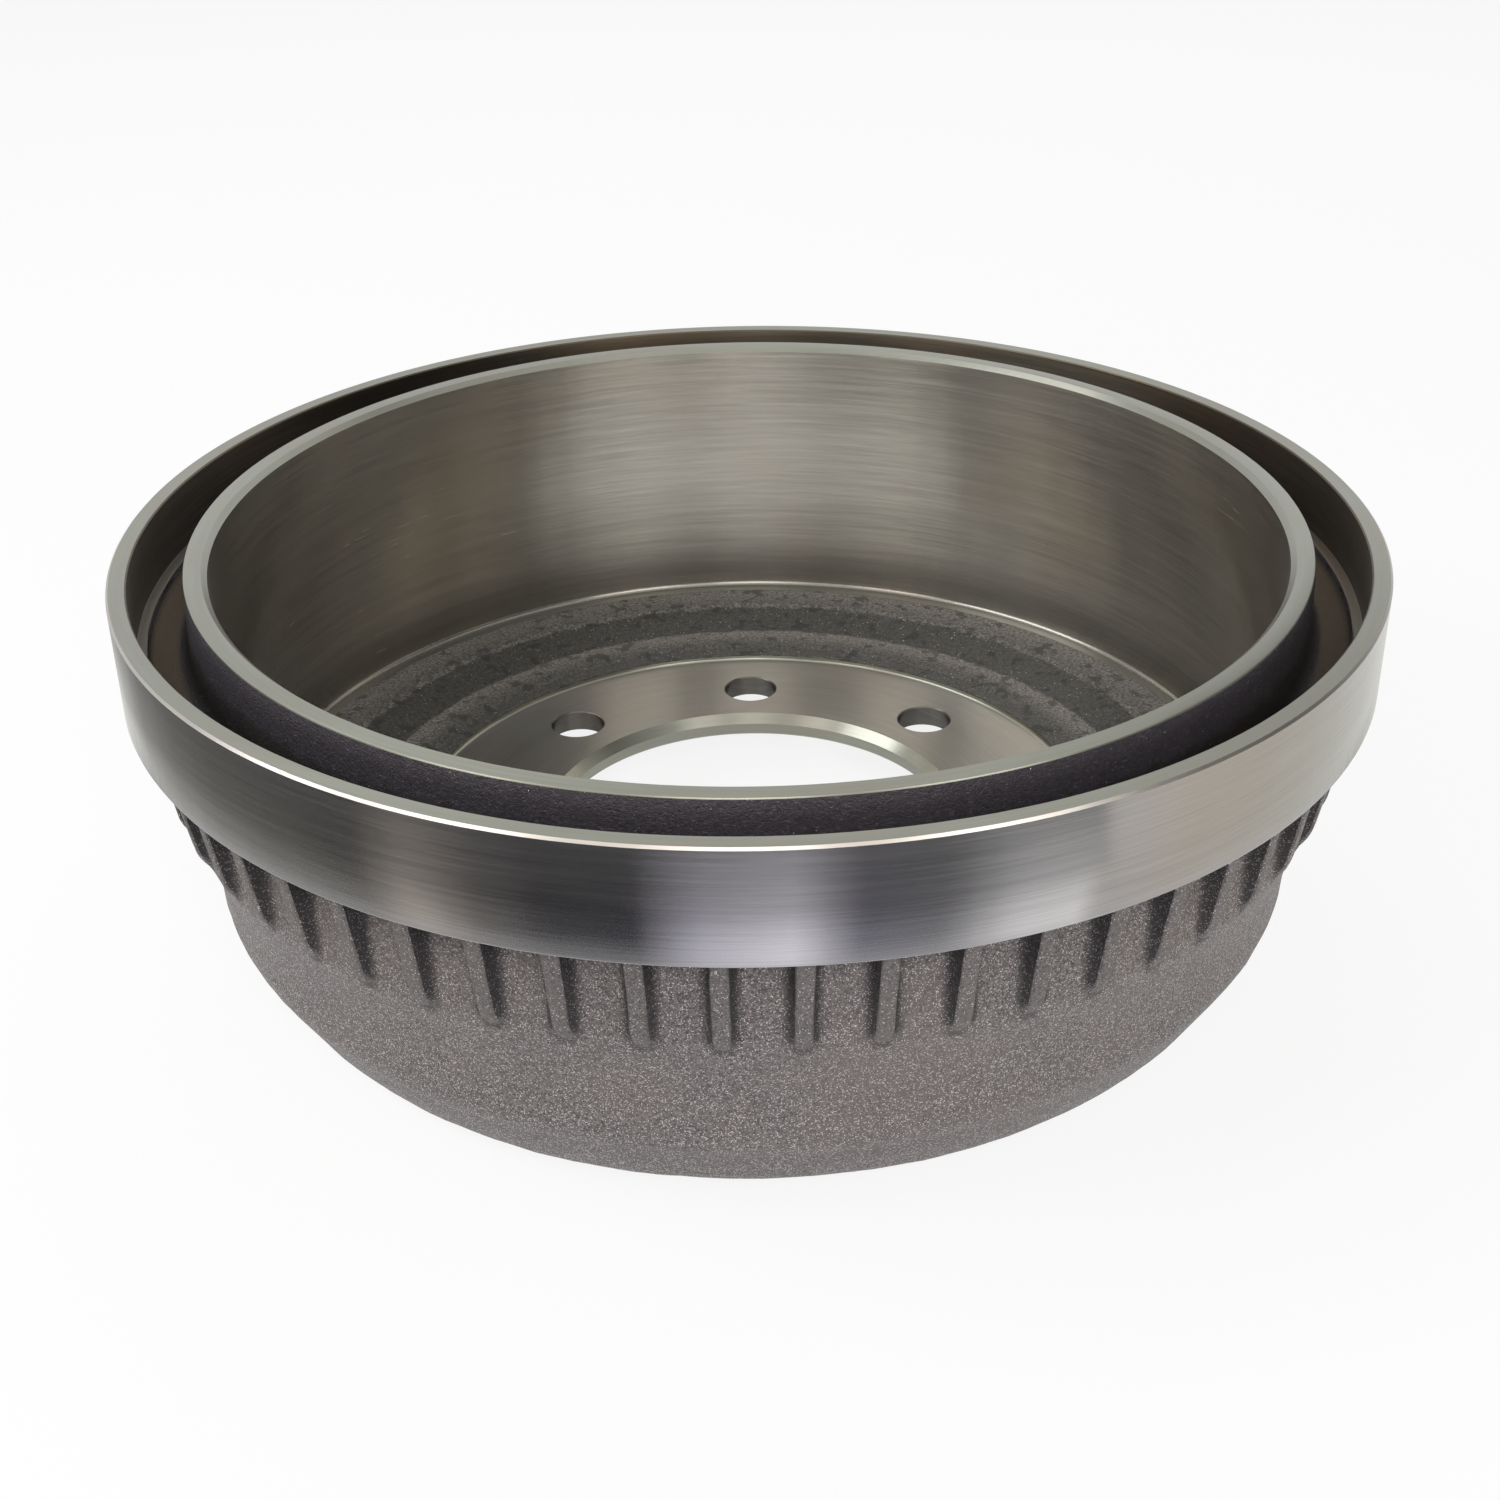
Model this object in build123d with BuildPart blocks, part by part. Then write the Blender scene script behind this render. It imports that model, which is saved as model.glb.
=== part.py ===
"""Truck brake drum, 308 mm shoe path, eight-bolt, sand-cast in one piece and then turned.

The drum stands on its foot ring with the open side up. The origin is the centre of that ring,
on the plane the drum stands on, and +Z is the drum's own axis. All lengths are millimetres.

From the axis outwards the section is a bored mounting flange, a stepped cast web, the shoe path
and, round the open side, a double rim: the lip of the shoe path stands inside a wider turned
band, with a groove between them for the backing plate. Below the band stands a row of narrow
cooling ribs with wide pockets between them, and under the ribs the wall flares into the barrel.
"""

import os
from math import cos, radians, sin, sqrt, tan

from build123d import *

# ---- shoe path and lip ----
brake_diameter = 308.0      # turned bore that the shoes press on
brake_depth = 92.0          # from the open face of the lip to the floor of the shoe path
brake_root_chamfer = 1.4    # tool relief where the shoe path meets its floor
lip_wall = 6.5              # wall of the lip at its open face
lip_chamfer = 1.5           # lead-in on the inner edge of the lip
lip_rise = 0.6              # how far the lip stands above the band
lip_draft = 3.0             # degrees, cast outer side of the lip

# ---- groove and band of the double rim ----
groove_width = 15.2         # clear width between lip and band at the open side
groove_wall_depth = 19.0    # turned part of the band's inner wall
groove_floor_depth = 22.0   # cast floor of the groove, both from the face of the band
groove_shoulder = 2.8       # turned shoulder left at the foot of the band's inner wall
band_wall = 5.5
band_height = 31.5
band_chamfer = 1.1

# ---- outer wall ----
drum_height = 126.0         # foot ring to the open face of the lip
band_overhang = 0.9         # the band stands this far outside the crest of the ribs
flare_angle = 19.6          # degrees from the axis, wall under the pockets
barrel_wall = 8.2           # wall of the barrel outside the shoe path
flare_blend = 30.0
shoulder_depth = 99.0       # where the barrel turns in, from the open face of the lip
shoulder_angle = 30.0       # degrees from the axis
corner_radius = 19.0        # large cast corner down to the foot ring

# ---- ribs ----
rib_count = 56
rib_phase = 3.8             # degrees, first rib from the +Y axis
rib_tip_width = 4.6         # across the crest, where the rib meets the band
rib_draft = 1.0             # degrees, each side of a rib
rib_length = 27.4           # outer face of a rib, down from the band
rib_face_angle = 10.3       # degrees from the axis
rib_foot_drop = 4.7         # height over which a rib's lower end slopes in to the wall
pocket_floor_radius = 169.2 # floor of the pockets between the ribs

# ---- web inside the drum, cast heights above the turned mounting face ----
shoe_floor_width = 16.8     # floor of the shoe path and the cast ledge beside it
web_step_radius = 121.0     # inner end of the sloping cast web
land_rise = 1.9             # cast land above the mounting face, at its rim
land_slope = 1.0            # how much higher the land is where the web begins

# ---- mounting flange ----
mount_diameter = 210.0      # turned seat for the hub
mount_depth = 99.0
flange_thickness = 7.0
bolt_circle = 165.1
bolt_count = 8
bolt_hole = 17.5
pilot_bore = 124.0
pilot_chamfer = 2.8
wheel_seat_margin = 4.0     # the turned wheel seat is wider than the hub seat by this much
wheel_seat_rise = 1.0       # it stands this far off the cast underside

# ---- foot ring on the wheel side ----
foot_width = 6.0            # flat of the foot ring
foot_draft = 20.0           # degrees, inner side of the foot ring

# ---- levels and radii that follow ----
band_top = drum_height - lip_rise
band_bottom = band_top - band_height
brake_radius = brake_diameter / 2
lip_radius = brake_radius + lip_wall
band_inner_radius = lip_radius + groove_width
band_radius = band_inner_radius + band_wall
crest_radius = band_radius - band_overhang
barrel_radius = brake_radius + barrel_wall

groove_floor = band_top - groove_floor_depth
groove_shoulder_level = band_top - groove_wall_depth
lip_root_radius = lip_radius + (drum_height - groove_floor) * tan(radians(lip_draft))
groove_floor_radius = band_inner_radius - groove_shoulder - (groove_shoulder_level - groove_floor) / 2

shoe_floor = drum_height - brake_depth
mount_face = drum_height - mount_depth
wheel_face = mount_face - flange_thickness
cast_underside = wheel_face + wheel_seat_rise
rim_level = mount_face + land_rise
land_level = rim_level + land_slope
mount_radius = mount_diameter / 2
pilot_radius = pilot_bore / 2
wheel_seat_radius = mount_radius + wheel_seat_margin

rib_foot_level = band_bottom - rib_length
rib_foot_radius = crest_radius - rib_length * tan(radians(rib_face_angle))
pocket_foot_level = rib_foot_level - rib_foot_drop
half_pitch = 180.0 / rib_count

flare_end = pocket_foot_level - (pocket_floor_radius - barrel_radius) / tan(radians(flare_angle))
shoulder_level = drum_height - shoulder_depth
corner_foot_radius = barrel_radius - shoulder_level * tan(radians(shoulder_angle))
foot_outer_radius = corner_foot_radius - corner_radius * tan(radians((90 - shoulder_angle) / 2))
foot_inner_radius = foot_outer_radius - foot_width
foot_root_radius = foot_inner_radius - cast_underside * tan(radians(foot_draft))


def section_corner(sketch, radius, level):
    """The section's corner at a radius and a height, in the sketch's own axes."""
    return sketch.vertices().sort_by_distance(Vector(radius, level))[0]


def rib_side(radius):
    """Where a rib's side face crosses a radius in plan, seen from the middle of the pocket beside it."""
    half_width = rib_tip_width / 2 + (crest_radius - radius) * tan(radians(rib_draft))
    along = sqrt(radius**2 - half_width**2)
    turn = radians(half_pitch)
    return along * cos(turn) + half_width * sin(turn), along * sin(turn) - half_width * cos(turn)


# ---- the turned section, one closed outline swept once round the axis ----
with BuildPart() as brake_drum:
    with BuildSketch(Plane.XZ) as section:
        with BuildLine():
            Polyline(
                # shoe path, lip, groove and band
                (brake_radius, shoe_floor),
                (brake_radius, drum_height),
                (lip_radius, drum_height),
                (lip_root_radius, groove_floor),
                (groove_floor_radius, groove_floor),
                (band_inner_radius - groove_shoulder, groove_shoulder_level),
                (band_inner_radius, groove_shoulder_level),
                (band_inner_radius, band_top),
                (band_radius, band_top),
                (band_radius, band_bottom),
                # outer face and foot of the ribs, flare, barrel and corner
                (crest_radius, band_bottom),
                (rib_foot_radius, rib_foot_level),
                (pocket_floor_radius, pocket_foot_level),
                (barrel_radius, flare_end),
                (barrel_radius, shoulder_level),
                (corner_foot_radius, 0),
                # foot ring and underside
                (foot_inner_radius, 0),
                (foot_root_radius, cast_underside),
                (wheel_seat_radius, cast_underside),
                (wheel_seat_radius, wheel_face),
                (pilot_radius, wheel_face),
                # mounting face and cast web, back to the shoe path
                (pilot_radius, mount_face),
                (mount_radius, mount_face),
                (mount_radius, rim_level),
                (web_step_radius, land_level),
                (brake_radius - shoe_floor_width, shoe_floor),
                close=True,
            )
        make_face()

        fillet(section_corner(section, barrel_radius, flare_end), radius=flare_blend)
        fillet(section_corner(section, corner_foot_radius, 0), radius=corner_radius)
        for radius, level, size in (
            (brake_radius, shoe_floor, brake_root_chamfer),
            (brake_radius, drum_height, lip_chamfer),
            (band_radius, band_top, band_chamfer),
            (pilot_radius, mount_face, pilot_chamfer),
        ):
            chamfer(section_corner(section, radius, level), length=size)
    revolve(axis=Axis.Z)

    # ---- bolt holes, one of them on the +Y axis ----
    with BuildSketch(Plane.XY.offset(mount_face)):
        with PolarLocations(bolt_circle / 2, bolt_count, start_angle=90):
            Circle(bolt_hole / 2)
    extrude(amount=-flange_thickness, mode=Mode.SUBTRACT)

    # ---- pockets between the ribs ----
    inner = rib_side(pocket_floor_radius)
    outer = rib_side(band_radius + band_overhang)
    with BuildSketch(Plane.XY.offset(pocket_foot_level)) as pockets:
        with PolarLocations(0, rib_count, start_angle=90 + rib_phase + half_pitch):
            with BuildSketch(mode=Mode.PRIVATE) as pocket:
                with BuildLine():
                    Polyline(inner, outer, (outer[0], -outer[1]), (inner[0], -inner[1]))
                    ThreePointArc(inner, (pocket_floor_radius, 0), (inner[0], -inner[1]))
                make_face()
            add(pocket.sketch)
    extrude(amount=band_bottom - pocket_foot_level, mode=Mode.SUBTRACT)

brake_drum.part.label = "brake_drum"

os.makedirs("parts", exist_ok=True)
export_step(brake_drum.part, "parts/brake_drum.step")
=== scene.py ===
"""Truck brake drum: the finished casting with its cast skin and turned faces, in a plain pale studio.

The drum stands on its foot ring with the open side up, the drum's axis on Z. The section is
traced once through the middle of a rib, spun over one rib pitch, drawn in to a pocket on each
side of the rib, and repeated round the axis.
"""

from math import radians, degrees, tan, sin, cos, atan2, pi, hypot

import bmesh
import bpy
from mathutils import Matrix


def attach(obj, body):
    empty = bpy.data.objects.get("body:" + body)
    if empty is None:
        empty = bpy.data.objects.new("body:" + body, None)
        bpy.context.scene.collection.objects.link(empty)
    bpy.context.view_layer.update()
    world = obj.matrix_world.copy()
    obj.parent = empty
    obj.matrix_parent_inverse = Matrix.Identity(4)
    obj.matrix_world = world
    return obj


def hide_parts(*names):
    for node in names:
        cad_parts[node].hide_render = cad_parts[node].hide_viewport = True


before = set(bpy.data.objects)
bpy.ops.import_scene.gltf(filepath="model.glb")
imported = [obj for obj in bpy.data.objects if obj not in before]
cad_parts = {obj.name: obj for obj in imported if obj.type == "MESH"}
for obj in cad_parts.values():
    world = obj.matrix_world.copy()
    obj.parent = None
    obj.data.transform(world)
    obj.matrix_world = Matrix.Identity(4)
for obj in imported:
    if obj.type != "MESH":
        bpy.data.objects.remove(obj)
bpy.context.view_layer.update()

MM = 0.001

# ---- sizes of the drum, millimetres ----
drum_height = 126.0
band_top = 125.4
band_bottom = 93.9
band_radius = 181.15
band_inner_radius = 175.7
barrel_radius = 162.2
flare_end = 42.14
flare_angle = 19.6
brake_radius = 154.0
shoe_floor = 34.0
lip_radius = 160.5
groove_floor = 103.4
groove_shoulder_level = 106.4
mount_radius = 105.0
mount_face = 27.0
wheel_face = 20.0
pilot_radius = 62.0
bolt_circle = 165.1
bolt_count = 8
bolt_hole = 17.5
rib_count = 56
rib_phase = 3.8
rib_pitch = 360.0 / rib_count
rib_half_width = 2.3
rib_foot_level = 65.0
rib_foot_radius = 171.9
rib_face_angle = 10.2
rib_foot_drop = 3.6
pocket_floor = 169.2
pocket_foot_level = 61.8
pocket_ease = 0.9           # how far the pocket's floor is rounded in to the flare
rib_edge_start = 1.6        # beyond this distance from its middle line a rib's face falls away
rib_edge_curve = 1.5
rib_lift_start = 1.0        # and beyond this one its foot ends higher
rib_lift_curve = 1.1
rib_foot_ease = 1.5
hole_flare = 0.9            # how much wider a bolt hole is where it breaks a face of the flange
hole_overshoot = 0.55       # how far its drill passes that face
near = 0.02                 # points this close together count as one place


# ---------------------------------------------------------------- mesh tools
def deselect_all():
    if bpy.context.object and bpy.context.object.mode != "OBJECT":
        bpy.ops.object.mode_set(mode="OBJECT")
    bpy.ops.object.select_all(action="DESELECT")


def take(piece):
    """Makes the piece the one that is worked on."""
    deselect_all()
    piece.select_set(True)
    bpy.context.view_layer.objects.active = piece


def open_mesh(piece):
    take(piece)
    bpy.ops.object.mode_set(mode="EDIT")
    bpy.ops.mesh.select_mode(type="VERT")
    bpy.ops.mesh.select_all(action="DESELECT")


def close_mesh():
    bpy.ops.object.mode_set(mode="OBJECT")


def pick_points(test):
    """Selects the points of the open mesh whose place passes the test."""
    mesh = bmesh.from_edit_mesh(bpy.context.object.data)
    for point in mesh.verts:
        point.select_set(test(point.co))
    mesh.select_flush_mode()
    bmesh.update_edit_mesh(bpy.context.object.data)


def pick_faces(test):
    """Selects the faces of the open mesh whose middle passes the test."""
    bpy.ops.mesh.select_mode(type="FACE")
    mesh = bmesh.from_edit_mesh(bpy.context.object.data)
    for face in mesh.faces:
        face.select_set(test(face.calc_center_median()))
    bmesh.update_edit_mesh(bpy.context.object.data)


def apply_modifier(piece, kind, **settings):
    take(piece)
    modifier = piece.modifiers.new(kind.title(), kind)
    for name, value in settings.items():
        setattr(modifier, name, value)
    bpy.ops.object.modifier_apply(modifier=modifier.name)


# ---------------------------------------------------------------- the section
# radius, level, how far the corner is eased along each side, steps of the easing
section_corners = [
    # shoe path and lip
    (brake_radius, shoe_floor, 1.6, 4),
    (brake_radius, 64.0, 0, 0),
    (brake_radius, 95.0, 0, 0),
    (brake_radius, drum_height, 1.5, 1),
    (lip_radius, drum_height, 0.5, 2),
    (160.8, 120.5, 0, 0),
    (161.1, 114.0, 0, 0),
    (161.684, groove_floor, 3.8, 5),
    # groove, turned shoulder and band
    (168.4, groove_floor, 0, 0),
    (171.4, groove_floor, 0.9, 2),
    (172.9, groove_shoulder_level, 0.4, 1),
    (band_inner_radius, groove_shoulder_level, 0.6, 2),
    (band_inner_radius, band_top, 0.4, 1),
    (band_radius, band_top, 0.65, 1),
    (band_radius, 109.5, 0, 0),
    (band_radius, band_bottom, 0.45, 2),
]


def eased_least(first, second, ease):
    """The smaller of two radii, with the corner between them rounded over the ease."""
    gap = first - second
    if abs(gap) >= ease:
        return min(first, second)
    return min(first, second) - (ease - abs(gap)) ** 2 / (4 * ease)


def pocket_radius(level):
    """The cast wall between the ribs: upright under the band, then the flare into the barrel."""
    flare = pocket_floor - (pocket_foot_level - level) * tan(radians(flare_angle))
    return eased_least(pocket_floor, flare, pocket_ease)


def rib_radius(level, aside):
    """A rib's outer face and its foot, which is rounded at the corners and along the edges."""
    edge = max(0.0, aside - rib_edge_start) ** 2 * rib_edge_curve
    lift = max(0.0, aside - rib_lift_start) ** 2 * rib_lift_curve
    face = rib_foot_radius + (level - rib_foot_level) * tan(radians(rib_face_angle))
    foot_slope = (rib_foot_radius - pocket_floor) / rib_foot_drop
    foot = rib_foot_radius - (rib_foot_level + lift - level) * foot_slope
    return eased_least(face - edge, foot, rib_foot_ease)


def ridge_radius(level):
    """The line through the middle of a rib, down past its foot to the flare."""
    return max(rib_radius(level, 0.0), pocket_radius(level))


# a level wherever the ribs and pockets need one
rib_levels = [
    93.9, 92.7, 89.5, 85.5, 81.0, 76.5, 71.5, 68.6, 67.1,
    66.2, 65.5, 64.9, 64.2, 63.3, 62.4, 61.4, 59.8, 57.8,
]
section_corners += [(ridge_radius(level), level, 0, 0) for level in rib_levels]
section_corners += [
    (barrel_radius, flare_end, 11.2, 6),
    (barrel_radius, 27.0, 3.75, 4),
    (154.0, 12.8, 0, 0),
    (146.6, 0.0, 10.9, 8),
    # foot ring and underside
    (129.6, 0.0, 1.4, 3),
    (125.6, 11.0, 0, 0),
    (121.96, 21.0, 3.5, 4),
    (109.0, 21.0, 0.3, 1),
    (109.0, wheel_face, 0.3, 1),
    (86.0, wheel_face, 0, 0),
    (pilot_radius, wheel_face, 0.8, 1),
    # bore, mounting face and cast web
    (pilot_radius, mount_face, 2.8, 1),
    (86.0, mount_face, 0, 0),
    (mount_radius, mount_face, 0.8, 3),
    (mount_radius, 28.9, 0.45, 2),
    (110.2, 28.9, 0.5, 2),
    (111.5, 29.9, 0.6, 2),
    (116.0, 30.1, 0, 0),
    (121.0, 29.9, 1.6, 3),
    (126.0, 30.9, 0, 0),
    (131.0, 32.0, 0, 0),
    (136.1, 33.0, 0.5, 2),
    (137.4, 33.85, 0.6, 2),
    (142.0, 33.95, 0, 0),
    (148.6, 33.95, 0.25, 1),
    (149.2, shoe_floor - 0.15, 0.2, 1),
]


def trace_section(name):
    """The outline of the wall, drawn corner by corner in the XZ plane and eased at its corners."""
    deselect_all()
    bpy.ops.mesh.primitive_plane_add(size=MM)
    outline = bpy.context.object
    outline.name = name
    bpy.ops.object.mode_set(mode="EDIT")
    bpy.ops.mesh.select_all(action="SELECT")
    bpy.ops.mesh.merge(type="CENTER")
    at = (0.0, 0.0)
    for number, (radius, level, _, _) in enumerate(section_corners):
        step = ((radius - at[0]) * MM, 0, (level - at[1]) * MM)
        if number == 0:
            bpy.ops.transform.translate(value=step)
        else:
            bpy.ops.mesh.extrude_vertices_move(TRANSFORM_OT_translate={"value": step})
        at = (radius, level)
    bpy.ops.mesh.select_all(action="SELECT")
    bpy.ops.mesh.edge_face_add()
    for radius, level, ease, steps in section_corners:
        if not steps:
            continue
        bpy.ops.mesh.select_all(action="DESELECT")
        pick_points(lambda co: hypot(co.x - radius * MM, co.z - level * MM) < near * MM)
        bpy.ops.mesh.bevel(offset_type="OFFSET", offset=ease * MM, segments=steps, profile=0.5,
                           affect="VERTICES", clamp_overlap=False)
    bpy.ops.mesh.select_all(action="SELECT")
    bpy.ops.mesh.delete(type="ONLY_FACE")
    close_mesh()
    return outline


# ---------------------------------------------------------------- ribs and pockets
# degrees from the middle of a rib: face, rounded edge, side, root and pocket
half_steps = [0.0, 0.62, 0.74, 0.80, 1.02, 1.50, rib_pitch / 2]
rib_side_turn = 0.77        # from here on a column stands beside the rib
root_ease = {0.80: 2.4, 1.02: 1.2, 1.50: 0.25}
near_turn = 0.02            # degrees within which a point belongs to a column
least_move = 0.01


def skin_radius(turn, level):
    """Where the cast skin lies at this angle from the middle of a rib."""
    wall = pocket_radius(level)
    if turn > rib_side_turn:
        return max(wall, min(wall + root_ease.get(turn, 0.0), rib_radius(level, rib_half_width)))
    return max(wall, rib_radius(level, rib_foot_radius * sin(radians(turn))))


def spin_one_pitch(outline):
    """Sweeps the section from the middle of one rib to the next, a column of points at each turn."""
    take(outline)
    bpy.ops.object.mode_set(mode="EDIT")
    bpy.ops.mesh.select_mode(type="VERT")
    bpy.ops.mesh.select_all(action="SELECT")
    steps = [b - a for a, b in zip(half_steps, half_steps[1:])]
    for step in steps + steps[::-1]:
        bpy.ops.mesh.spin(steps=1, angle=radians(step), center=(0, 0, 0), axis=(0, 0, 1))
    close_mesh()


def draw_in_pockets(pitch):
    """Draws the points beside the rib in towards the axis, level by level."""
    open_mesh(pitch)
    for level in rib_levels:
        ridge = ridge_radius(level)
        for turn in half_steps[1:]:
            target = skin_radius(turn, level)
            if ridge - target < least_move:
                continue

            def in_column(co):
                if abs(co.z - level * MM) > near * MM or abs(hypot(co.x, co.y) - ridge * MM) > near * MM:
                    return False
                angle = abs(degrees(atan2(co.y, co.x)))
                return abs(min(angle, rib_pitch - angle) - turn) < near_turn

            pick_points(in_column)
            bpy.ops.transform.resize(value=(target / ridge, target / ridge, 1), center_override=(0, 0, 0))
    close_mesh()


def repeat_round(piece, count):
    open_mesh(piece)
    bpy.ops.mesh.select_all(action="SELECT")
    turn = 2 * pi / count
    bpy.ops.mesh.spin(steps=count - 1, angle=turn * (count - 1), center=(0, 0, 0), axis=(0, 0, 1),
                      dupli=True)
    bpy.ops.mesh.select_all(action="SELECT")
    bpy.ops.mesh.remove_doubles(threshold=0.01 * MM)
    bpy.ops.mesh.normals_make_consistent(inside=False)
    close_mesh()


# ---------------------------------------------------------------- bolt holes
def hole_cutters():
    """Eight drills on the bolt circle, each flared where it breaks the two faces of the flange."""
    deselect_all()
    hole_radius = bolt_hole / 2
    bpy.ops.mesh.primitive_circle_add(vertices=64, radius=(hole_radius + hole_flare) * MM, fill_type="NGON",
                                      location=(0, 0, (wheel_face - hole_overshoot) * MM))
    drill = bpy.context.object
    bpy.ops.object.transform_apply(location=True, rotation=False, scale=False)
    bpy.ops.object.mode_set(mode="EDIT")
    bpy.ops.mesh.select_all(action="SELECT")
    narrower = hole_radius / (hole_radius + hole_flare)
    straight = mount_face - wheel_face - 2 * (hole_flare - hole_overshoot)
    for rise, size in ((hole_flare, narrower), (straight, 1.0), (hole_flare, 1 / narrower)):
        bpy.ops.mesh.extrude_region_move(TRANSFORM_OT_translate={"value": (0, 0, rise * MM)})
        bpy.ops.transform.resize(value=(size, size, 1))
    bpy.ops.mesh.select_all(action="SELECT")
    bpy.ops.transform.translate(value=(0, bolt_circle / 2 * MM, 0))
    bpy.ops.mesh.normals_make_consistent(inside=False)
    bpy.ops.mesh.spin(steps=bolt_count - 1, angle=2 * pi / bolt_count * (bolt_count - 1),
                      center=(0, 0, 0), axis=(0, 0, 1), dupli=True)
    close_mesh()
    return drill


# ---------------------------------------------------------------- zones of the surface
least, beyond = -1.0, 999.0   # limits that no point of the drum reaches

# each zone: radius from and to, level from and to
everywhere = (least, beyond, least, beyond)
turned_zones = [
    (180.85, beyond, 93.0, beyond),   # outside of the band
    (172.6, beyond, 105.6, beyond),   # shoulder, inner wall and top of the band
    (least, 161.0, 125.6, beyond),    # top of the lip
    (least, 158.0, 124.0, beyond),    # lead-in of the lip
    (least, 154.2, 34.3, beyond),     # shoe path
    (149.4, 154.2, 33.0, 36.0),       # relief at the foot of the shoe path
    (least, 105.0, 19.0, beyond),     # bore, bolt holes and mounting face
    (least, 109.1, least, 20.7),      # wheel seat
    (least, 136.5, least, 0.3),       # foot ring
]
even_zones = [
    (least, beyond, least, 1.2),      # foot ring
    (least, beyond, 125.0, beyond),   # tops of the lip and the band
    (least, 105.4, least, beyond),    # bore, mounting face and wheel seat
    (least, 109.4, least, 21.1),      # rim of the wheel seat
    (least, 154.3, 34.3, beyond),     # shoe path
    (146.0, 154.3, 33.0, beyond),     # relief at its foot
    (172.0, beyond, 105.9, beyond),   # inner wall of the band
    (162.6, beyond, 93.4, 94.5),      # underside of the band
    (180.4, beyond, 93.0, beyond),    # outside of the band
]
ledge_edge_zone = (134.6, 139.0, 30.0, beyond)


def lies_in(zone, radius, level):
    inner, outer, low, high = zone
    return inner < radius < outer and low < level < high


def lies_in_any(zones, radius, level):
    return any(lies_in(zone, radius, level) for zone in zones)


def build_casting():
    drum = trace_section("drum_casting")
    spin_one_pitch(drum)
    draw_in_pockets(drum)
    repeat_round(drum, rib_count)
    # the middle of a rib stands at the phase angle from +Y
    open_mesh(drum)
    bpy.ops.mesh.select_all(action="SELECT")
    bpy.ops.transform.rotate(value=-radians(90 + rib_phase), orient_axis="Z", center_override=(0, 0, 0))
    close_mesh()

    cutters = hole_cutters()
    apply_modifier(drum, "BOOLEAN", operation="DIFFERENCE", solver="EXACT", object=cutters)
    bpy.data.objects.remove(cutters)
    return drum


# ---------------------------------------------------------------- unevenness of the casting
def gather(piece, name, test):
    """Puts the points that pass the test into a named group of the piece."""
    open_mesh(piece)
    pick_points(lambda co: test(hypot(co.x, co.y) / MM, co.z / MM))
    bpy.ops.object.vertex_group_add()
    piece.vertex_groups.active.name = name
    bpy.context.scene.tool_settings.vertex_group_weight = 1.0
    bpy.ops.object.vertex_group_assign()
    close_mesh()


def roughen(piece, group, grain, depth):
    texture = bpy.data.textures.new(group, "CLOUDS")
    texture.noise_scale = grain * MM
    texture.noise_depth = 2
    apply_modifier(piece, "DISPLACE", texture=texture, texture_coords="LOCAL", direction="NORMAL",
                   vertex_group=group, strength=depth * MM, mid_level=0.5)


# ---------------------------------------------------------------- materials
class Reading:
    """One value over a surface. Arithmetic on readings wires up the Math nodes."""

    def __init__(self, finish, socket):
        self.finish, self.socket = finish, socket

    def out(self, name):
        return Reading(self.finish, self.socket.node.outputs[name])

    def __add__(self, other): return self.finish.math("ADD", self, other)
    def __radd__(self, other): return self.finish.math("ADD", other, self)
    def __sub__(self, other): return self.finish.math("SUBTRACT", self, other)
    def __rsub__(self, other): return self.finish.math("SUBTRACT", other, self)
    def __mul__(self, other): return self.finish.math("MULTIPLY", self, other)
    def __truediv__(self, other): return self.finish.math("DIVIDE", self, other)
    def __pow__(self, other): return self.finish.math("POWER", self, other)


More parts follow.
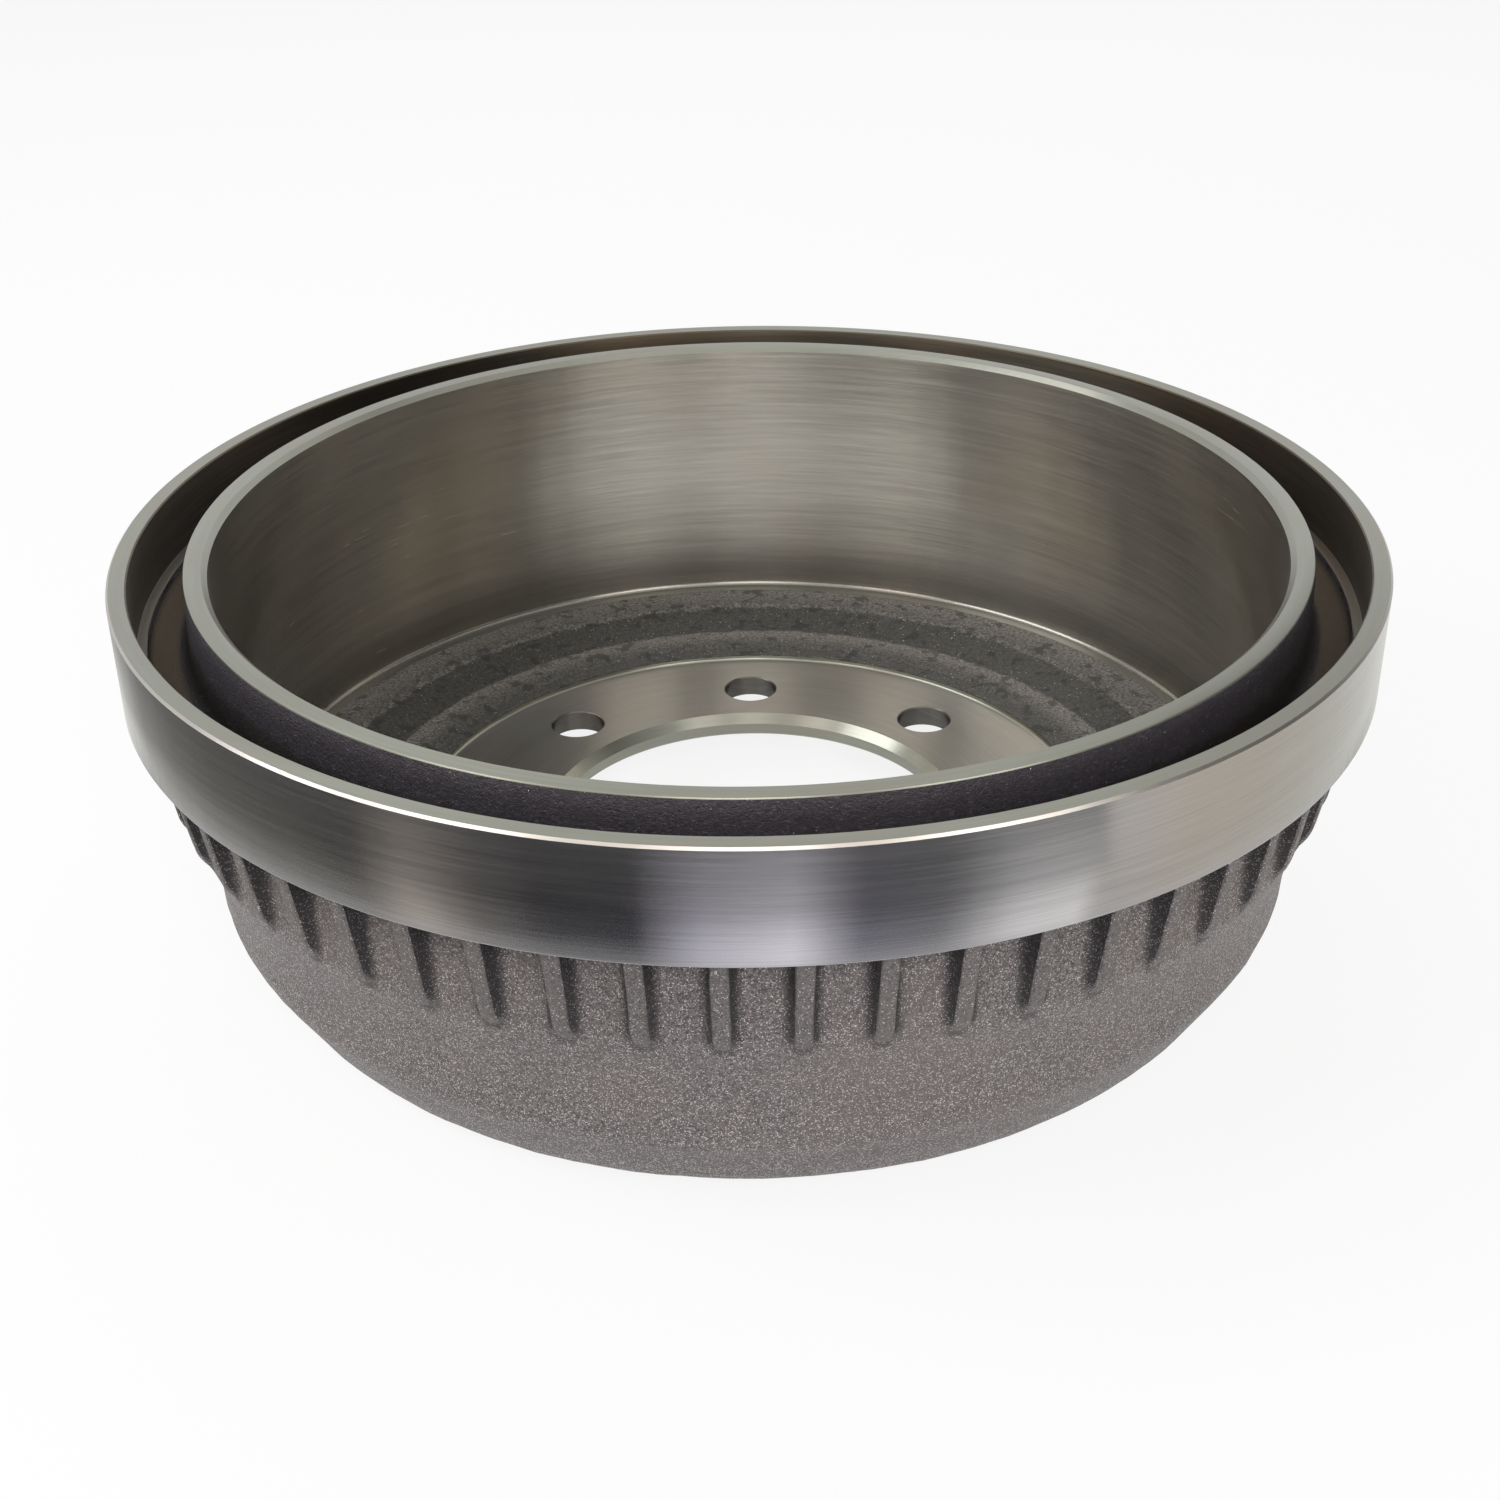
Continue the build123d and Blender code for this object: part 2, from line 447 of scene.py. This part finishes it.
class Finish:
    """A material under way, with the few kinds of node that this drum needs."""

    def __init__(self, name, owner=None):
        self.material = owner or bpy.data.materials.new(name)
        self.material.use_nodes = True
        self.tree = self.material.node_tree
        self.tree.nodes.clear()
        if owner:
            return
        self.place = self.node("ShaderNodeTexCoord").out("Object")
        axes = self.node("ShaderNodeSeparateXYZ", {}, {0: self.place})
        self.x, self.y, self.z = axes.out("X"), axes.out("Y"), axes.out("Z")
        self.radius = (self.x * self.x + self.y * self.y) ** 0.5

    def node(self, kind, settings=None, sockets=None):
        node = self.tree.nodes.new(kind)
        for name, value in (settings or {}).items():
            if name == "stops":
                while len(node.color_ramp.elements) < len(value):
                    node.color_ramp.elements.new(0.5)
                for element, (position, colour) in zip(node.color_ramp.elements, value):
                    element.position, element.color = position, colour
            else:
                setattr(node, name, value)
        for name, value in (sockets or {}).items():
            if isinstance(value, Reading):
                self.tree.links.new(value.socket, node.inputs[name])
            else:
                node.inputs[name].default_value = value
        return Reading(self, node.outputs[0]) if node.outputs else node

    def math(self, operation, first, second):
        return self.node("ShaderNodeMath", {"operation": operation}, {0: first, 1: second})

    def vector(self, x, y, z):
        return self.node("ShaderNodeCombineXYZ", {}, {0: x, 1: y, 2: z})

    def noise(self, where, scale, detail=2.0, roughness=0.5):
        return self.node("ShaderNodeTexNoise", {},
                         {"Vector": where, "Scale": scale, "Detail": detail, "Roughness": roughness})

    def spread(self, value, low, high, new_low=0.0, new_high=1.0):
        """The value stretched from one range to another, smooth at both ends and held there."""
        return self.node("ShaderNodeMapRange", {"interpolation_type": "SMOOTHSTEP"},
                         {0: value, 1: low, 2: high, 3: new_low, 4: new_high})

    def blend(self, factor, first, second):
        """From the first colour to the second. A plain colour is red, green and blue."""
        if not isinstance(first, Reading):
            first += (1,)
        if not isinstance(second, Reading):
            second += (1,)
        return self.node("ShaderNodeMix", {"data_type": "RGBA"}, {0: factor, 6: first, 7: second}).out(2)

    def bump(self, height, strength, distance):
        return self.node("ShaderNodeBump", {}, {"Height": height, "Strength": strength, "Distance": distance})

    def seen_or_mirrored(self, most):
        """The most, for what the camera or a reflection sees, and nothing for light that falls on things."""
        path = self.node("ShaderNodeLightPath")
        seen = path.out("Is Camera Ray") + path.out("Is Glossy Ray") + path.out("Is Transmission Ray")
        return self.math("MINIMUM", seen * most, most)

    def finish(self, **sockets):
        named = {name.replace("_", " "): value for name, value in sockets.items()}
        surface = self.node("ShaderNodeBsdfPrincipled", {}, named)
        self.node("ShaderNodeOutputMaterial", {}, {"Surface": surface})
        return self.material


def turned_iron(name, light, dark, roughness, tint, tint_amount, painted_foot_reflection=0.0):
    """Bright turned iron: tool marks that run round the axis, faint banding and stain, and a painted dark
    reflection at the foot.
    """
    f = Finish(name)
    east, north = f.x / f.radius, f.y / f.radius
    across = f.radius * 0.83 + f.z
    feed = f.noise(f.vector(east * 5, north * 5, across * 2100), 1.0, 3.0, 0.7)
    passes = f.noise(f.vector(east * 2, north * 2, across * 520), 1.0, 3.0, 0.65)
    cloud = f.noise(f.vector(east * 2.5, north * 2.5, across * 22), 1.0, 2.0, 0.5)
    stain = f.noise(f.place, 20.0, 3.0, 0.6)
    marks = feed * 0.6 + passes * 0.4
    colour = f.blend(f.spread(marks, 0.30, 0.70), dark, light)
    colour = f.blend(f.spread(stain * 0.5 + cloud * 0.5, 0.42, 0.66) * tint_amount, colour, tint)
    if painted_foot_reflection:
        # painted reflection: the colour darkens towards the foot, standing in for a dark reflection there
        low = f.spread(f.z + (cloud - 0.5) * 0.006, 0.056, 0.038)
        colour = f.blend(low * painted_foot_reflection, colour, (0.11, 0.105, 0.095))
    rough = roughness + (marks - 0.5) * 0.10 + (cloud - 0.5) * 0.06
    return f.finish(
        Base_Color=colour,
        Metallic=1.0,
        Roughness=rough,
        Anisotropic=0.88,
        Anisotropic_Rotation=0.25,
        Normal=f.bump(marks, 0.05, 0.0003),
    )


def cast_skin(name, light, dark, warm, specks, zones=None):
    """Sand-cast iron as it leaves the shot blast: gritty, with bright specks where grains catch the light."""
    f = Finish(name)
    grit = f.noise(f.place, 2300.0, 2.0, 0.65)
    grains = f.noise(f.place, 1000.0, 2.0, 0.6)
    lumps = f.noise(f.place, 190.0, 2.0, 0.5)
    patches = f.noise(f.place, 16.0, 3.0, 0.6)
    cells = f.node("ShaderNodeTexVoronoi", {"feature": "F1"}, {"Vector": f.place, "Scale": 2900.0})
    chance = f.node("ShaderNodeSeparateColor", {}, {0: cells.out("Color")})
    speck = f.spread(chance, 1.0 - specks, 1.0 - specks * 0.3) * f.spread(cells.out("Distance"), 0.62, 0.25)
    colour = f.blend(f.spread(grit * 0.6 + grains * 0.4, 0.36, 0.64), dark, light)
    colour = f.blend(f.spread(patches, 0.4, 0.75) * 0.5, colour, warm)
    shelter = 0.0
    # a zone can paint shade into the colour, as beside the ribs, and says where the specks fade
    if zones:
        colour, shelter = zones(f, colour, grains, lumps)
        speck = speck * (1.0 - shelter)
    colour = f.blend(speck, colour, (0.80, 0.75, 0.74))
    return f.finish(
        Base_Color=colour,
        Metallic=0.15 + speck * 0.8,
        Roughness=(0.52 + shelter * 0.25) - speck * 0.25 + (grains - 0.5) * 0.2,
        Normal=f.bump(grit * 0.45 + grains * 0.45 + lumps * 0.4, 1.0, 0.0006),
    )


def rib_corner_shade(f, colour, grains, lumps):
    """Painted shade: the corners beside the ribs are darkened, so is the turn under the barrel, and so is a
    band low on the barrel.
    """
    round_axis = f.math("ARCTAN2", f.y, f.x) * (180 / pi) - (90 + rib_phase)
    turn = f.math("PINGPONG", round_axis, rib_pitch / 2)
    # painted shade beside each rib and below its foot, in a near-black colour; specks fade and the skin grows
    # rougher there
    beside = f.spread(turn, 1.90, 0.95) * f.spread(f.z, 0.060, 0.067)
    under = f.spread(turn, 1.15, 0.60) * f.spread(f.z, 0.0585, 0.0612) * 0.55
    corner = f.math("MAXIMUM", beside, under)
    colour = f.blend(corner * 0.88, colour, (0.012, 0.010, 0.013))
    # painted shade: a darker band low on the barrel, broken up by the grains
    low = f.spread(f.z, 0.013, 0.017) * f.spread(f.z, 0.024, 0.019) * f.spread(grains, 0.3, 0.6, 0.3, 0.8)
    return f.blend(low * 0.5, colour, (0.070, 0.062, 0.062)), corner * 0.7


def web_rings(f, colour, grains, lumps):
    """Painted light and shade: the gritty ledge and land are painted lighter, as if lit, and the smooth slope
    between them is painted dark, as shade.
    """
    edge = f.radius + (lumps - 0.5) * 0.0030 + (grains - 0.5) * 0.0012
    # painted light: the ledge grows lighter towards its outer edge, and the land lighter towards its outer
    # rim
    ledge = f.spread(edge, 0.1352, 0.1364, 0.0, 0.45) + f.spread(f.radius, 0.137, 0.147, 0.0, 0.5)
    land = f.spread(edge, 0.1225, 0.1212) * f.spread(edge, 0.1100, 0.1205, 0.1, 0.95)
    pits = f.spread(lumps, 0.44, 0.34) * f.spread(grains, 0.35, 0.6, 0.4, 1.0)
    grain = f.spread(grains, 0.35, 0.65)
    # lit and shaded copies of one skin: painted light for the ledge and land, painted shade for the slope
    painted_lit_rings = f.blend(grain, (0.075, 0.070, 0.064), (0.250, 0.232, 0.215))
    smooth = f.blend(grain, (0.022, 0.022, 0.020), (0.062, 0.060, 0.054))
    colour = f.blend(f.math("MAXIMUM", ledge, land), smooth, painted_lit_rings)
    return f.blend(pits * 0.7, colour, (0.014, 0.014, 0.013)), pits * 0.7


def groove_zones(f, colour, grains, lumps):
    """The lip's outside is rough and greyer above, black below, and the floor of the groove is brown."""
    upper = f.spread(f.z + (lumps - 0.5) * 0.006, 0.1125, 0.1165)
    colour = f.blend(upper * f.spread(grains, 0.3, 0.6, 0.5, 1.0), colour, (0.036, 0.031, 0.040))
    scratch = f.noise(f.vector(f.x * 0.25, f.y * 0.25, f.z), 2600.0, 2.0, 0.6)
    colour = f.blend(f.spread(scratch, 0.60, 0.72) * upper * 0.7, colour, (0.15, 0.13, 0.15))
    floor = f.spread(f.radius, 0.1635, 0.1655) * f.spread(f.z, 0.1052, 0.1042)
    return f.blend(floor * 0.8, colour, (0.105, 0.082, 0.056)), floor


# ---------------------------------------------------------------- the drum
def dress(drum):
    """Cast skin all over, then each turned zone in its own finish.

    Each finish has a zone, and the degrees from the middle of a rib within which it lies.
    """
    cast = [
        (cast_skin("cast_skin", (0.225, 0.200, 0.196), (0.048, 0.042, 0.043), (0.185, 0.155, 0.142), 0.30,
                   rib_corner_shade), everywhere, rib_pitch),
        (cast_skin("cast_rib_faces", (0.192, 0.174, 0.170), (0.058, 0.052, 0.053), (0.165, 0.142, 0.130),
                   0.14), (169.9, beyond, 62.4, 93.9), 0.76),
        (cast_skin("cast_web", (0.120, 0.118, 0.104), (0.038, 0.037, 0.033), (0.085, 0.080, 0.066), 0.015,
                   web_rings), (105.0, 150.0, 26.0, 60.0), rib_pitch),
        (cast_skin("cast_groove", (0.024, 0.021, 0.023), (0.010, 0.009, 0.010), (0.026, 0.020, 0.018), 0.003,
                   groove_zones), (158.0, 173.5, 102.0, beyond), rib_pitch),
    ]
    turned = [
        (turned_iron("turned_faces", (0.315, 0.32, 0.275), (0.27, 0.275, 0.236), 0.30,
                     (0.28, 0.25, 0.21), 0.4), everywhere, rib_pitch),
        (turned_iron("turned_band", (0.42, 0.41, 0.415), (0.34, 0.335, 0.34), 0.21,
                     (0.36, 0.34, 0.33), 0.4), (180.9, beyond, least, beyond), rib_pitch),
        # the last number sets the painted dark reflection at the foot of the shoe path
        (turned_iron("turned_shoe_path", (0.545, 0.522, 0.475), (0.405, 0.389, 0.352), 0.25,
                     (0.46, 0.40, 0.33), 0.45, 0.62), (152.0, 154.2, 33.95, beyond), rib_pitch),
        (turned_iron("turned_seat", (0.25, 0.245, 0.225), (0.205, 0.20, 0.185), 0.33,
                     (0.23, 0.20, 0.185), 0.4), (62.5, 104.3, 26.0, beyond), rib_pitch),
        # painted shade: a dark base for the walls of the bolt holes
        (turned_iron("drilled_holes_painted_shade", (0.16, 0.155, 0.145), (0.10, 0.098, 0.09), 0.42,
                     (0.12, 0.10, 0.08), 0.4), (73.0, 92.0, 20.05, 26.95), rib_pitch),
        # painted reflection: a dark base for the band's inner wall, standing in for the dark groove it
        # mirrors
        (turned_iron("turned_groove_painted_reflection", (0.15, 0.132, 0.105), (0.09, 0.08, 0.066), 0.38,
                     (0.15, 0.105, 0.065), 0.6), (172.6, 176.0, least, 125.2), rib_pitch),
        # painted highlight: a lighter base on the band's outer chamfer, for the bright line along its edge
        (turned_iron("edge_painted_highlight", (0.56, 0.528, 0.502), (0.45, 0.423, 0.403), 0.36,
                     (0.46, 0.41, 0.36), 0.4), (180.6, beyond, 124.8, 125.35), rib_pitch),
    ]

    drum.data.materials.clear()
    open_mesh(drum)
    for number, (material, zone, widest_turn) in enumerate(cast + turned):
        drum.data.materials.append(material)

        def belongs(middle):
            radius, level = hypot(middle.x, middle.y) / MM, middle.z / MM
            if lies_in_any(turned_zones, radius, level) != (number >= len(cast)):
                return False
            turn = (degrees(atan2(middle.y, middle.x)) - 90 - rib_phase) % rib_pitch
            return lies_in(zone, radius, level) and min(turn, rib_pitch - turn) < widest_turn

        pick_faces(belongs)
        drum.active_material_index = number
        bpy.ops.object.material_slot_assign()
    close_mesh()


drum = build_casting()
dress(drum)
gather(drum, "cast_points", lambda radius, level: not lies_in_any(even_zones, radius, level))
gather(drum, "ledge_edge", lambda radius, level: lies_in(ledge_edge_zone, radius, level))
roughen(drum, "cast_points", 9.0, 0.5)
roughen(drum, "ledge_edge", 3.5, 1.2)
take(drum)
bpy.ops.object.shade_smooth_by_angle(angle=radians(32))
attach(drum, "root")
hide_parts("brake_drum")


# ---------------------------------------------------------------- studio
def plain_floor():
    deselect_all()
    bpy.ops.mesh.primitive_plane_add(size=14, location=(0, 0, 0))
    floor = bpy.context.object
    floor.name = "studio_floor"
    f = Finish("studio_white")
    matt = f.node("ShaderNodeBsdfDiffuse", {}, {"Color": (0.9, 0.9, 0.9, 1)})
    lift = f.node("ShaderNodeEmission", {}, {"Color": (1, 1, 1, 1), "Strength": 1.0})
    mixed = f.node("ShaderNodeMixShader", {}, {0: f.seen_or_mirrored(0.86), 1: matt, 2: lift})
    f.node("ShaderNodeOutputMaterial", {}, {"Surface": mixed})
    floor.data.materials.append(f.material)


def soft_panel(name, place, aim, width, height, power, mirrored=True):
    bpy.ops.object.light_add(type="AREA", location=place)
    panel = bpy.context.object
    panel.name = name
    panel.data.shape = "RECTANGLE"
    panel.data.size, panel.data.size_y = width, height
    panel.data.energy = power
    panel.visible_glossy = mirrored
    towards = [b - a for a, b in zip(place, aim)]
    flat = hypot(towards[0], towards[1])
    panel.rotation_euler = (atan2(flat, -towards[2]), 0, atan2(towards[1], towards[0]) - pi / 2)


def card(name, start, end, foot, top, shades, fade):
    """A curved card round the drum that only its reflections see.

    Start, end and shades are in degrees round from the front, foot and top are radius and height,
    and the fade is how bright the card is at its foot and at its top.
    """
    deselect_all()
    bpy.ops.mesh.primitive_plane_add(size=MM)
    board = bpy.context.object
    board.name = name
    bpy.ops.object.mode_set(mode="EDIT")
    bpy.ops.mesh.select_all(action="SELECT")
    bpy.ops.mesh.merge(type="CENTER")
    along, across = sin(radians(start)), -cos(radians(start))
    bpy.ops.transform.translate(value=(foot[0] * along, foot[0] * across, foot[1]))
    lean = top[0] - foot[0]
    rise = (lean * along, lean * across, top[1] - foot[1])
    bpy.ops.mesh.extrude_vertices_move(TRANSFORM_OT_translate={"value": rise})
    bpy.ops.mesh.select_all(action="SELECT")
    bpy.ops.mesh.spin(steps=36, angle=radians(start - end), center=(0, 0, 0), axis=(0, 0, 1))
    close_mesh()
    f = Finish(name)
    turn = f.math("ARCTAN2", f.x, 0.0 - f.y)
    stops = [(0.5 + degree / 360, colour + (1,)) for degree, colour in shades]
    shade = f.node("ShaderNodeValToRGB", {"stops": stops}, {0: turn / (2 * pi) + 0.5})
    strength = f.spread(f.z, foot[1], top[1], fade[0], fade[1])
    glow = f.node("ShaderNodeEmission", {}, {"Color": shade, "Strength": strength})
    f.node("ShaderNodeOutputMaterial", {}, {"Surface": glow})
    board.data.materials.append(f.material)
    board.visible_camera = board.visible_diffuse = board.visible_shadow = board.visible_transmission = False


def studio_light():
    world = bpy.data.worlds.new("studio")
    bpy.context.scene.world = world
    f = Finish("studio", world)
    soft = f.node("ShaderNodeBackground", {}, {"Color": (1.0, 0.99, 0.98, 1), "Strength": 0.38})
    white = f.node("ShaderNodeBackground", {}, {"Color": (1, 1, 1, 1), "Strength": 1.0})
    mixed = f.node("ShaderNodeMixShader", {}, {0: f.seen_or_mirrored(1.0), 1: soft, 2: white})
    f.node("ShaderNodeOutputWorld", {}, {"Surface": mixed})
    soft_panel("back_panel", (0.1, 1.2, 1.4), (0, 0, 0.05), 1.4, 0.8, 7.0, mirrored=False)
    soft_panel("front_panel", (0.15, -1.25, 0.95), (0, 0, 0.06), 0.45, 0.35, 10.0, mirrored=False)
    soft_panel("left_panel", (-1.15, -0.30, 1.10), (0, 0, 0.08), 1.2, 0.45, 11.0)


def set_camera():
    tilt = (radians(60.8105), radians(0.7133), radians(-0.3555))
    bpy.ops.object.camera_add(location=(0, -0.56787, 0.36581), rotation=tilt)
    camera = bpy.context.object
    camera.data.lens = 50.573
    camera.data.sensor_width = 36
    camera.data.clip_start = 0.01
    bpy.context.scene.camera = camera


deselect_all()
set_camera()
plain_floor()
studio_light()
low_foot, low_top = (0.24, 0.001), (0.264, 0.10)
card("low_card", -112, 38, low_foot, low_top, [
    (-112, (0.75, 0.75, 0.73)), (-92, (0.34, 0.34, 0.32)), (-74, (0.22, 0.22, 0.20)),
    (-45, (0.11, 0.107, 0.095)), (-38, (0.44, 0.40, 0.345)), (-30, (0.14, 0.13, 0.12)),
    (-22, (0.035, 0.035, 0.04)), (-12, (0.02, 0.02, 0.03)), (-6, (0.60, 0.59, 0.67)),
    (4, (0.98, 0.96, 1.04)), (11, (0.17, 0.17, 0.21)), (20, (0.20, 0.20, 0.215)),
    (29, (0.84, 0.84, 0.83)), (38, (0.93, 0.92, 0.89)),
], (2.1, 0.1))
card("right_card", 38, 118, low_foot, low_top, [
    (38, (0.93, 0.91, 0.87)), (48, (0.98, 0.91, 0.79)), (62, (0.93, 0.88, 0.76)),
    (80, (0.92, 0.92, 0.83)), (118, (1.0, 1.0, 0.97)),
], (0.92, 1.04))
card("high_card", -67, 125, (0.38, 0.17), (0.44, 0.58), [
    (-67, (0.10, 0.095, 0.09)), (-58, (0.13, 0.125, 0.115)), (-50, (0.90, 0.86, 0.80)),
    (-38, (0.95, 0.91, 0.85)), (-30, (0.36, 0.34, 0.30)), (-16, (0.34, 0.322, 0.288)),
    (-9, (1.0, 0.97, 0.92)), (6, (1.0, 0.97, 0.92)), (11, (0.38, 0.358, 0.325)),
    (19, (0.38, 0.358, 0.325)), (26, (1.0, 0.97, 0.91)), (40, (0.92, 0.89, 0.84)),
    (50, (0.10, 0.097, 0.088)), (72, (0.012, 0.012, 0.011)),
], (5.0, 4.4))
bpy.context.scene.view_settings.view_transform = "Standard"
